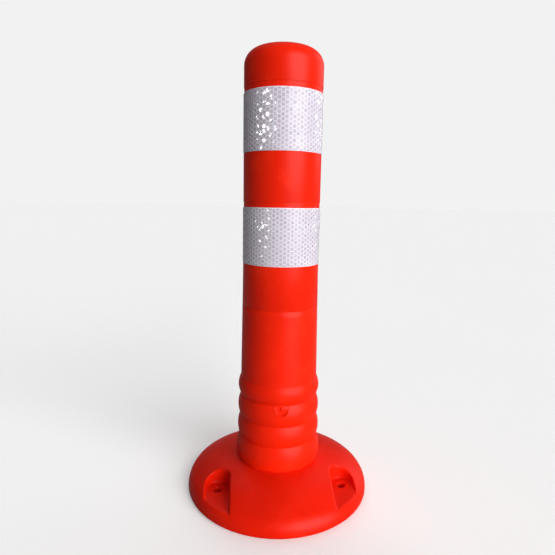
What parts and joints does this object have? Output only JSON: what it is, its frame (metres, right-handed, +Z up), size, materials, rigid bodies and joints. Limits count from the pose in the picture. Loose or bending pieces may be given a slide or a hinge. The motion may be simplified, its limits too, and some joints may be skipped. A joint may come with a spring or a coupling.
{
  "type": "delineator post",
  "caption": "Flexible delineator post: round bolt-down base, ribbed neck that bends and springs back, hollow post with a rounded cap and white reflective bands.",
  "frame": {"origin": "centre of the base's underside, where the post's axis meets the road", "axes": "+Z up along the post, -Y the front with the gate mark and two of the bolt pockets, +X to the right seen from the front"},
  "size_m": [0.2, 0.2, 0.467],
  "materials": {
    "post_tpu": "satin moulded",
    "base_tpu": "satin moulded",
    "tape_backing": "smooth",
    "tape_face": "clear prismatic"
  },
  "bodies": {
    "base": {"base_flange": "base_tpu", "post_root": "post_tpu"},
    "collar": {"neck_collar": "post_tpu"},
    "rib_lower": {"neck_rib_lower": "post_tpu"},
    "rib_middle": {"neck_rib_middle": "post_tpu"},
    "post": {"neck_rib_upper": "post_tpu", "tube_lower": "post_tpu", "tube_upper": "post_tpu", "top_cap": "post_tpu", "band_lower_backing": "tape_backing", "band_lower_face": "tape_face", "band_upper_backing": "tape_backing", "band_upper_face": "tape_face"}
  },
  "joints": [
    {"name": "neck_sway", "type": "hinge", "parent": "base", "child": "collar", "pos_m": [0, 0, 0.0482], "axis": [0, 1, 0], "range_deg": [-25, 25], "stiffness_Nm_per_rad": 60, "deforming": ["neck_collar"]},
    {"name": "neck_bend_lower", "type": "hinge", "parent": "collar", "child": "rib_lower", "pos_m": [0, 0, 0.0723], "axis": [1, 0, 0], "range_deg": [-28, 28], "stiffness_Nm_per_rad": 90, "deforming": ["neck_rib_lower"]},
    {"name": "neck_bend_middle", "type": "hinge", "parent": "rib_lower", "child": "rib_middle", "pos_m": [0, 0, 0.0954], "axis": [1, 0, 0], "range_deg": [-28, 28], "stiffness_Nm_per_rad": 90, "deforming": ["neck_rib_middle"]},
    {"name": "neck_bend_upper", "type": "hinge", "parent": "rib_middle", "child": "post", "pos_m": [0, 0, 0.1172], "axis": [1, 0, 0], "range_deg": [-25.2, 25.2], "stiffness_Nm_per_rad": 90, "deforming": ["neck_rib_upper"]}
  ],
  "couplings": [
    {"joint": "neck_bend_middle", "follows": "neck_bend_lower", "ratio": 1},
    {"joint": "neck_bend_upper", "follows": "neck_bend_lower", "ratio": 0.9}
  ]
}
